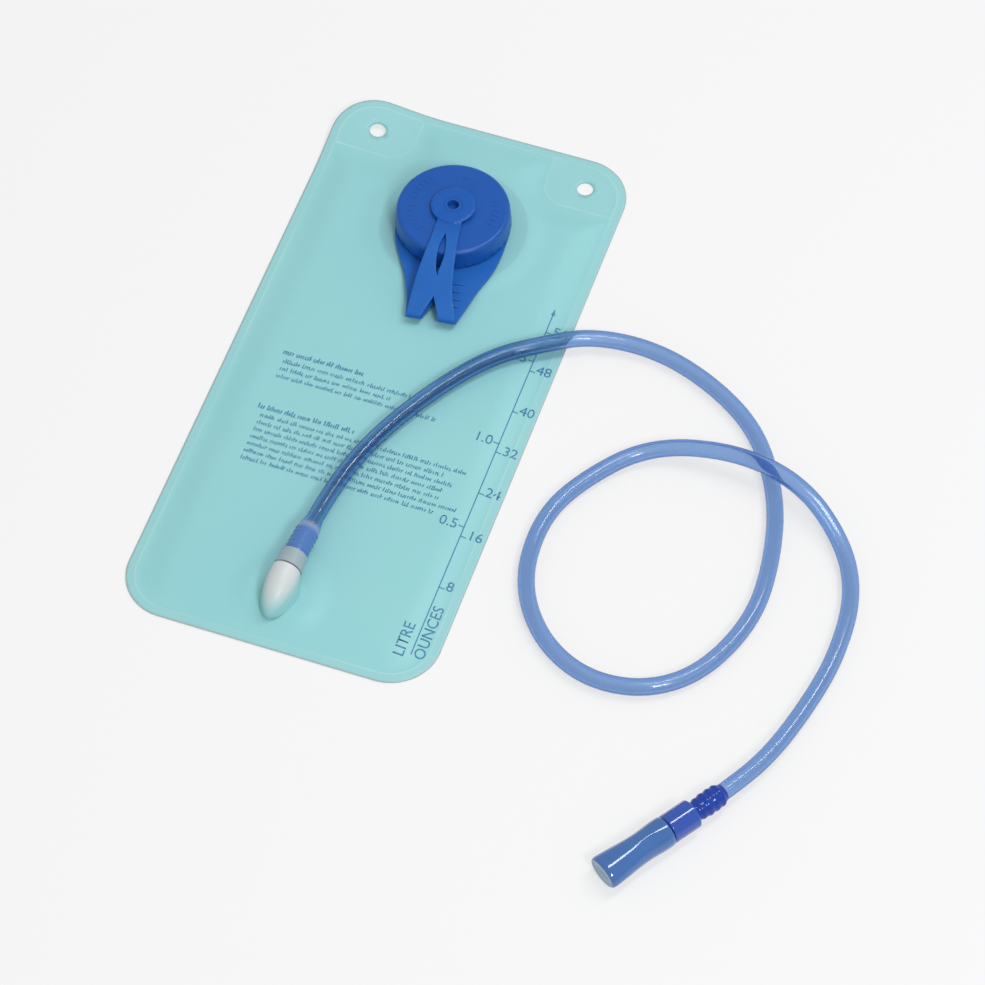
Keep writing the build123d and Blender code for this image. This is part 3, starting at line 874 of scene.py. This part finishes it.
def make_film(name, looks, height, holes, node):
    """One sheet of the pouch. height gives its middle over a point of the floor."""
    rim = rounded_box(HALF_W, HALF_L, CORNER_R, RIM_STEP)
    extra = []
    for d in RIM_BANDS:
        extra += rounded_box(HALF_W - d, HALF_L - d, CORNER_R - d, FILM_STEP)
    flat, faces = triangulate(rim, holes, extra, FILM_STEP)
    z = height(flat[:, 0], flat[:, 1])
    film = new_object(name, np.column_stack([flat, z]), faces, looks)
    thicken(film, FILM_T)
    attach(film, "pouch")
    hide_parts(node)


def back_middle(x, y):
    """Height of the back film's middle."""
    return BACK_MID_Z + curl(x, y)


def front_middle(x, y):
    """Height of the front film's middle."""
    return film_top(x, y) - FILM_T / 2


def make_films():
    """Both sheets with the hang holes, and the front one with the neck's and the duct's holes."""
    hangs = [circle(side * HANG_X, HANG_Y, HANG_R, 36) for side in (-1, 1)]
    neck = circle(CAP_X, CAP_Y, NECK_R, 90)
    duct = circle(PORT.x - 0.0005, PORT.y - 0.0095, DUCT_R, 30)
    make_film("pouch_back", LOOKS["back"], back_middle, hangs, "back_film")
    make_film("pouch_front", LOOKS["film"], front_middle, hangs + [neck, duct], "front_film")


# ---------------------------------------------------------------- tether


def strap_height(v):
    """Height of the strap's middle at a distance from the cap's axis."""
    low = RING_MID_Z + 2 * FOLD_R
    t = smooth((FOLD_V - v) / (FOLD_V - STRAP_BEND_V + 0.004))
    slope = np.clip((FOLD_V - v) / (FOLD_V - STRAP_BEND_V), 0, 1)
    return low + (STRAP_Z - low) * (0.45 * slope + 0.55 * t)


def eye_rise(u, v):
    """1 on the eye, 0 off it, at a place seen from the cap's axis."""
    return float(smooth((EYE_THICK_R - math.hypot(u, v)) / EYE_FADE))


def tether_place(u, s):
    """From the tether laid out flat, ring first, to where it is when folded over."""
    if s <= FOLD_V:
        v, z = s, RING_MID_Z
    elif s <= FOLD_V + FOLD_TURN:
        a = (s - FOLD_V) / FOLD_R
        v, z = FOLD_V + FOLD_R * math.sin(a), RING_MID_Z + FOLD_R * (1 - math.cos(a))
    else:
        v = EYE_S - s
        z = float(strap_height(v)) + (EYE_Z - STRAP_Z) * eye_rise(u, v)
    c, n = math.cos(TETHER_YAW), math.sin(TETHER_YAW)
    return Vector((CAP_X + u * c + v * n, CAP_Y + u * n - v * c, z))


def rounded_line(points, rounds=3):
    """An open line with its corners cut until it is smooth; its ends stay."""
    for _ in range(rounds):
        cut = [points[0]]
        for a, b in zip(points, points[1:]):
            cut.append((0.75 * a[0] + 0.25 * b[0], 0.75 * a[1] + 0.25 * b[1]))
            cut.append((0.25 * a[0] + 0.75 * b[0], 0.25 * a[1] + 0.75 * b[1]))
        points = cut[:1] + cut[2:-2] + [points[-1]]
    return points


def strap_edge(fold_point, points):
    """A smooth edge of the strap, from the fold to the eye."""
    return rounded_line([fold_point] + [(u, EYE_S - v) for u, v in points])


def arc_between(r, s, start, end, parts):
    """Points between two angles of a circle round (0, s), without its ends."""
    turns = [start + (end - start) * i / parts for i in range(1, parts)]
    return [(r * math.cos(a), s + r * math.sin(a)) for a in turns]


def tether_outline():
    """The tether laid out flat: up its right edge, round the eye, down its left edge, round the ring."""
    right_tail, left_tail = rounded_line(TAIL_RIGHT), rounded_line(TAIL_LEFT)
    right_strap = strap_edge(TAIL_RIGHT[-1], STRAP_RIGHT)
    left_strap = strap_edge(TAIL_LEFT[-1], STRAP_LEFT)
    (right_u, right_v), (left_u, left_v) = STRAP_RIGHT[-1], STRAP_LEFT[-1]
    eye_start = math.atan2(-right_v, right_u)
    eye_end = math.atan2(-left_v, left_u) + 2 * math.pi
    eye = arc_between(EYE_R, EYE_S, eye_start, eye_end, 44)
    ring_start = math.atan2(TAIL_LEFT[0][1], TAIL_LEFT[0][0]) - 2 * math.pi
    ring_end = math.atan2(TAIL_RIGHT[0][1], TAIL_RIGHT[0][0])
    ring = arc_between(RING_OUTER_R, 0, ring_start, ring_end, 70)
    return right_tail + right_strap[1:] + eye + left_strap[::-1] + left_tail[::-1][1:] + ring


def strap_slit():
    """A thin lens along the strap."""
    parts = 10
    start, end = EYE_S - SLIT_START, EYE_S - SLIT_END
    step = (SLIT_START - SLIT_END) / parts
    slit = [(0.0005, start)]
    slit += [(-0.0004 + 0.0024 * math.sin(math.pi * i / parts), start + step * i) for i in range(1, parts)]
    slit += [(-0.0004, end)]
    slit += [(-0.0004 - 0.0020 * math.sin(math.pi * i / parts), end - step * i) for i in range(1, parts)]
    return slit


def tether_holes():
    """The ring's bore, the notch at the fold, the strap's slit and the eye's hole."""
    near, far = (0.0009, NOTCH_REACH), (0.0004, EYE_S - NOTCH_REACH)
    notch = [near, (0.0058, FOLD_S), far, (-0.0050, FOLD_S)]
    bore = circle(0, 0, RING_INNER_R, 80)
    return [bore, fill_in(notch, 0.0012), strap_slit(), circle(0, EYE_S, EYE_HOLE_R, 36)]


def make_tether():
    """Ring, tail, fold, strap and eye as one soft moulding."""
    rings = [p for r in (EYE_THICK_R, 0.0120, 0.0112) for p in circle(0, EYE_S, r, 60)]
    bend = [FOLD_V + FOLD_TURN * i / 12 for i in range(13)]
    folds = [(u, s) for s in bend for u in np.arange(-0.0125, 0.015, 0.0012)]
    outline = fill_in(tether_outline(), 0.0012)
    flat, faces = triangulate(outline, tether_holes(), rings + folds, 0.0014)
    tether = new_object("cap_tether", [tether_place(u, s) for u, s in flat], faces, LOOKS["tether"])
    group = tether.vertex_groups.new(name="thick")
    for i, (u, s) in enumerate(flat):
        group.add([i], THIN_SHARE + (1 - THIN_SHARE) * eye_rise(u, s - EYE_S), "REPLACE")
    thicken(tether, TETHER_T, 0.00035, "thick")
    add_ribs(tether)
    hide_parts("tether_ring", "tether_strap")
    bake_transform(tether)


def rib_ring(u, v, size):
    """A small ring across a rib, at a place on the tail."""
    ring = []
    for k in range(RIB_SIDES):
        a = 2 * math.pi * k / RIB_SIDES
        place = tether_place(u, v + RIB_HALF_W * size * math.cos(a))
        ring.append(place + Vector((0, 0, RIB_LIFT + RIB_H * size * math.sin(a))))
    return ring


def add_rib(body, low, high, v):
    """One rib from low to high across the tail, with rounded ends."""
    rings = []
    for i in range(RIB_STEPS + 1):
        size = math.sqrt(max(0.02, 1 - (2 * i / RIB_STEPS - 1) ** 4))
        ring = rib_ring(low + (high - low) * i / RIB_STEPS, v, size)
        rings.append([body.verts.new(p) for p in ring])
    for a, b in zip(rings, rings[1:]):
        for k in range(RIB_SIDES):
            after = (k + 1) % RIB_SIDES
            body.faces.new((a[k], a[after], b[after], b[k]))
    body.faces.new(rings[0][::-1])
    body.faces.new(rings[-1])


def add_ribs(tether):
    """Finger ribs across the tail, joined to the tether's own mesh."""
    body = bmesh.new()
    body.from_mesh(tether.data)
    for v in RIB_PLACES:
        for low, high in RIB_WHOLE if v < NOTCH_REACH else RIB_HALVES:
            add_rib(body, low, high, v)
    bmesh.ops.recalc_face_normals(body, faces=body.faces)
    for face in body.faces:
        face.smooth = True
    body.to_mesh(tether.data)
    body.free()


# ---------------------------------------------------------------- port


def port_place(across, ahead, z):
    """A point given from the port's mouth, in the row frame."""
    c, s = math.cos(PORT_YAW), math.sin(PORT_YAW)
    return Vector((PORT.x + across * c + ahead * s, PORT.y - across * s + ahead * c, z))


def cowl_ring(back):
    """One section of the cowl: a round arch that runs out over the film in soft, swollen sides."""
    size = math.sqrt(max(0.0, 1 - (back / PORT_L) ** 2))
    swell = COWL_SWELL * float(smooth(back / COWL_SWELL_FADE)) * size
    half = PORT_MOUTH_R * size
    leg = (PORT.z - FLAT_TOP) * size
    crown = leg + half
    arch = []
    for i in range(ARCH_STEPS + 1):
        a = math.pi * i / ARCH_STEPS
        w = crown * math.sin(a)
        wide = math.sqrt(max(0.0, half ** 2 - max(0.0, w - leg) ** 2))
        side = math.copysign(1, math.cos(a)) if i != ARCH_STEPS // 2 else 0
        arch.append((side * (wide + swell * max(0.0, 1 - w / crown) ** 1.5), COWL_LIFT + w))
    reach = arch[0][0]
    base = [(-reach + 2 * reach * i / BASE_STEPS, -COWL_SINK) for i in range(BASE_STEPS + 1)]
    return [port_place(u, -back, FLAT_TOP + w) for u, w in arch + base]


def make_cowl():
    """The cowl, with an open socket in its mouth."""
    outer = [cowl_ring(PORT_L * math.sin(math.radians(a))) for a in COWL_ANGLES]
    middle = port_place(0, 0, PORT.z)
    rim = [(p - middle).normalized() * SOCKET_R for p in outer[0]]
    inward = port_place(0, -SOCKET_DEPTH, PORT.z)
    socket = [[inward + p for p in rim], [middle + p for p in rim]]
    cowl = loft("port_cowl", socket + outer, LOOKS["cowl"])
    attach(cowl, "pouch")
    return cowl


def flange_ring(scale, z):
    """One level of the port's oval flange."""
    ring = []
    for i in range(FLANGE_SIDES):
        a = 2 * math.pi * i / FLANGE_SIDES
        ahead = FLANGE_HALF_L * scale * math.sin(a) - FLANGE_BACK
        ring.append(port_place(FLANGE_HALF_W * scale * math.cos(a), ahead, z))
    return ring


def make_port():
    """The cowl on the film, and its flange welded on inside."""
    cowl = make_cowl()
    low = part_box("outlet_port")[0].z
    rings = [flange_ring(scale, low + rise) for scale, rise in FLANGE_PROFILE]
    flange = loft("port_flange", rings, LOOKS["weld"])
    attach(flange, "pouch")
    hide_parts("outlet_port")


# ---------------------------------------------------------------- bite valve


def valve_point(s, across, up):
    """A point given along, across and above the valve's axis, in the row frame."""
    return VALVE + VALVE_OUT * s + VALVE_SIDE * across + UP * up


def oval(s, half_w, half_h):
    """An oval ring round the valve's axis."""
    turns = [2 * math.pi * i / VALVE_SIDES for i in range(VALVE_SIDES)]
    return [valve_point(s, math.cos(a) * half_w, math.sin(a) * half_h) for a in turns]


def tint_tip(sleeve, first, last):
    """Gives the faces from ring first up to ring last the tip's paler look."""
    sleeve.data.materials.append(LOOKS["tip"])
    for polygon in sleeve.data.polygons:
        if first <= polygon.vertices[0] // VALVE_SIDES < last:
            polygon.material_index = 1


def raise_spot(sleeve, count):
    """Lifts a soft oval spot on top of the sleeve, among its first count points."""
    for vertex in sleeve.data.vertices[:count]:
        local = vertex.co - VALVE
        s = local.dot(VALVE_OUT) - SLEEVE_START
        if local.z > 0.004:
            away = math.hypot((s - SPOT_S) / SPOT_HALF_L, local.dot(VALVE_SIDE) / SPOT_HALF_W)
            vertex.co.z += SPOT_H * float(smooth(1.25 - away))


def make_mouthpiece():
    """Soft sleeve: round at its root, waisted, wide and flat at the tip, with a slit membrane."""
    tip = SLEEVE_START + SLEEVE_LENGTH
    bore_end = SLEEVE_START + SLEEVE_BORE_END
    outer = [oval(SLEEVE_START + s, w * MM, h * MM) for s, w, h in SLEEVE_PROFILE]
    face = [oval(tip - depth, w, h) for depth, w, h in TIP_PROFILE]
    inner = [oval(tip - 0.0016, BITE_SLIT_W, BITE_SLIT_H), oval(tip - 0.0018, 0.0070, 0.0040)]
    inner += [oval(s, SLEEVE_BORE_R, SLEEVE_BORE_R) for s in (bore_end, SLEEVE_START)]
    sleeve = loft("mouthpiece_sleeve", outer + face + inner, LOOKS["bite"], around=True)
    tint_tip(sleeve, len(outer) - 1, len(outer) + len(face))
    raise_spot(sleeve, len(outer) * VALVE_SIDES)
    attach(sleeve, "valve_sleeve")
    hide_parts("mouthpiece")
    return sleeve


# ---------------------------------------------------------------- print


def stroke(points, half):
    """A flat line of a given half width, as one polygon strip."""
    verts, faces = [], []
    for i, (x, y) in enumerate(points):
        ax, ay = points[max(i - 1, 0)]
        bx, by = points[min(i + 1, len(points) - 1)]
        d = Vector((bx - ax, by - ay)).normalized()
        verts += [(x - d.y * half, y + d.x * half), (x + d.y * half, y - d.x * half)]
        if i:
            faces.append((2 * i - 2, 2 * i - 1, 2 * i + 1, 2 * i))
    return verts, faces


def lettering(text, x, y, turn=0.0, align="LEFT"):
    """Outline type as a flat mesh, level with its place or turned from it."""
    curve = bpy.data.curves.new("type", "FONT")
    curve.body = text
    curve.size = TYPE_SIZE
    curve.align_x = align
    curve.align_y = "CENTER"
    curve.resolution_u = 3
    holder = bpy.data.objects.new("type", curve)
    mesh = bpy.data.meshes.new_from_object(holder)
    c, s = math.cos(turn), math.sin(turn)
    corners = [v.co for v in mesh.vertices]
    verts = [(x + p.x * c - p.y * s, y + p.x * s + p.y * c) for p in corners]
    faces = [tuple(p.vertices) for p in mesh.polygons]
    bpy.data.objects.remove(holder)
    bpy.data.meshes.remove(mesh)
    return verts, faces


def gather(marks):
    """Several flat pieces as one."""
    verts, faces = [], []
    for flat, polygons in marks:
        start = len(verts)
        verts += flat
        faces += [tuple(start + i for i in polygon) for polygon in polygons]
    return verts, faces


def letter(x, y, height, rng):
    """An upright stroke, in some cases with a short bar beside it."""
    tall = height * rng.choice((0.7, 0.7, 0.75, 1.1))
    lean = rng.uniform(-0.0001, 0.0005)
    marks = [stroke([(x, y), (x + lean, y + tall)], 0.11 * height)]
    if rng.random() < 0.55:
        bar = y + 0.7 * height * rng.choice((0.05, 0.5, 0.95))
        marks.append(stroke([(x, bar), (x + 0.0011, bar)], 0.0002))
    return marks


def dashes(x, y, length, height, rng):
    """A line of short strokes in word-like groups that say nothing."""
    marks = []
    end = x + length
    while x < end:
        for _ in range(rng.randint(3, 9)):
            if x > end:
                break
            marks += letter(x, y, height, rng)
            x += LETTER_PITCH
        x += LETTER_PITCH
    return marks


def scale_marks():
    """The filling scale: a line with an arrowhead, ticks, numbers and the two unit words."""
    line = [(SCALE_X, SCALE_START + SCALE_STEP * i) for i in range(51)]
    arrow = [(SCALE_X - 0.0011, 0.0725), (SCALE_X + 0.0011, 0.0725), (SCALE_X, 0.0770)]
    marks = [stroke(line, SCALE_HALF_W), (arrow, [(0, 1, 2)])]
    for amount, y in OUNCES:
        marks.append(stroke([(SCALE_X, y), (SCALE_X + TICK_L, y)], SCALE_HALF_W))
        marks.append(lettering(str(amount), SCALE_X + 0.0034, y + 0.0022))
    for amount, y in LITRES:
        marks.append(stroke([(SCALE_X, y), (SCALE_X - TICK_L, y)], SCALE_HALF_W))
        marks.append(lettering(amount, SCALE_X - 0.0036, y, align="RIGHT"))
    marks.append(lettering("LITRE", SCALE_X - 0.0062, -0.1695, math.pi / 2))
    marks.append(lettering("OUNCES", SCALE_X + 0.0048, -0.1675, math.pi / 2))
    return marks


def block_marks():
    """Two blocks of dashes where the real pouch carries its instructions, each under a heading."""
    short_rows = (0.078, 0.066, 0.094)
    long_rows = (0.122, 0.110, 0.116, 0.112, 0.112, 0.126, 0.112)
    rows = [(-0.0589, -0.0037, 0.048, 0.0030)]
    rows += [(-0.0570, -0.0095 - 0.0052 * i, length, 0.0025) for i, length in enumerate(short_rows)]
    rows += [(-0.0590, -0.0427, 0.056, 0.0030)]
    rows += [(-0.0560, -0.0482 - 0.0050 * i, length, 0.0025) for i, length in enumerate(long_rows)]
    rng = random.Random(7)
    marks = []
    for row in rows:
        marks += dashes(*row, rng)
    return marks


def make_print():
    """All the print on the pouch as one thin layer of ink."""
    verts, faces = gather(scale_marks() + block_marks())
    plan = np.array(verts)
    z = film_top(plan[:, 0], plan[:, 1]) + INK_LIFT
    ink = new_object("pouch_print", np.column_stack([plan, z]), faces, LOOKS["ink"])
    thicken(ink, INK_T, even=False)
    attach(ink, "pouch")


def make_cap_marks():
    """Faint raised marks on the cap's top, lower than the gap under the strap."""
    low, high = 0.0222, 0.0262
    marks = [([(-0.0020, low), (0.0020, low), (0.0, high)], [(0, 1, 2)])]
    for middle in (10, 160, 215):
        for i in range(6):
            a = math.radians(middle + 8 * (i - 2.5))
            ends = [(r * math.cos(a), r * math.sin(a)) for r in (0.0225, high)]
            marks.append(stroke(ends, 0.00045))
    verts, faces = gather(marks)
    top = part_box("cap_gasket")[1].z + CAP_PLATE_T
    places = [(CAP_X + x, CAP_Y + y, top) for x, y in verts]
    raised = new_object("cap_marks", places, faces, LOOKS["cap"])
    thicken(raised, MARK_T, 0.00005)
    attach(raised, "cap")


# ---------------------------------------------------------------- assembly

NODE_LOOKS = {
    "filler_neck": "neck",
    "screw_cap": "cap",
    "cap_gasket": "gasket",
    "hose_connector": "port",
    # The port's O-ring is dark as a real seal and as painted shadow of the gap it sits in.
    "port_o_ring": "seal",
    "valve_housing": "valve",
    "valve_o_ring": "seal",
    "valve_spool": "valve",
}
for node, looks in NODE_LOOKS.items():
    nodes[node].data.materials.clear()
    nodes[node].data.materials.append(LOOKS[looks])

make_films()
make_print()
make_cap_marks()
make_tether()
make_port()
sleeve = make_mouthpiece()
hose, hose_points = make_hose()
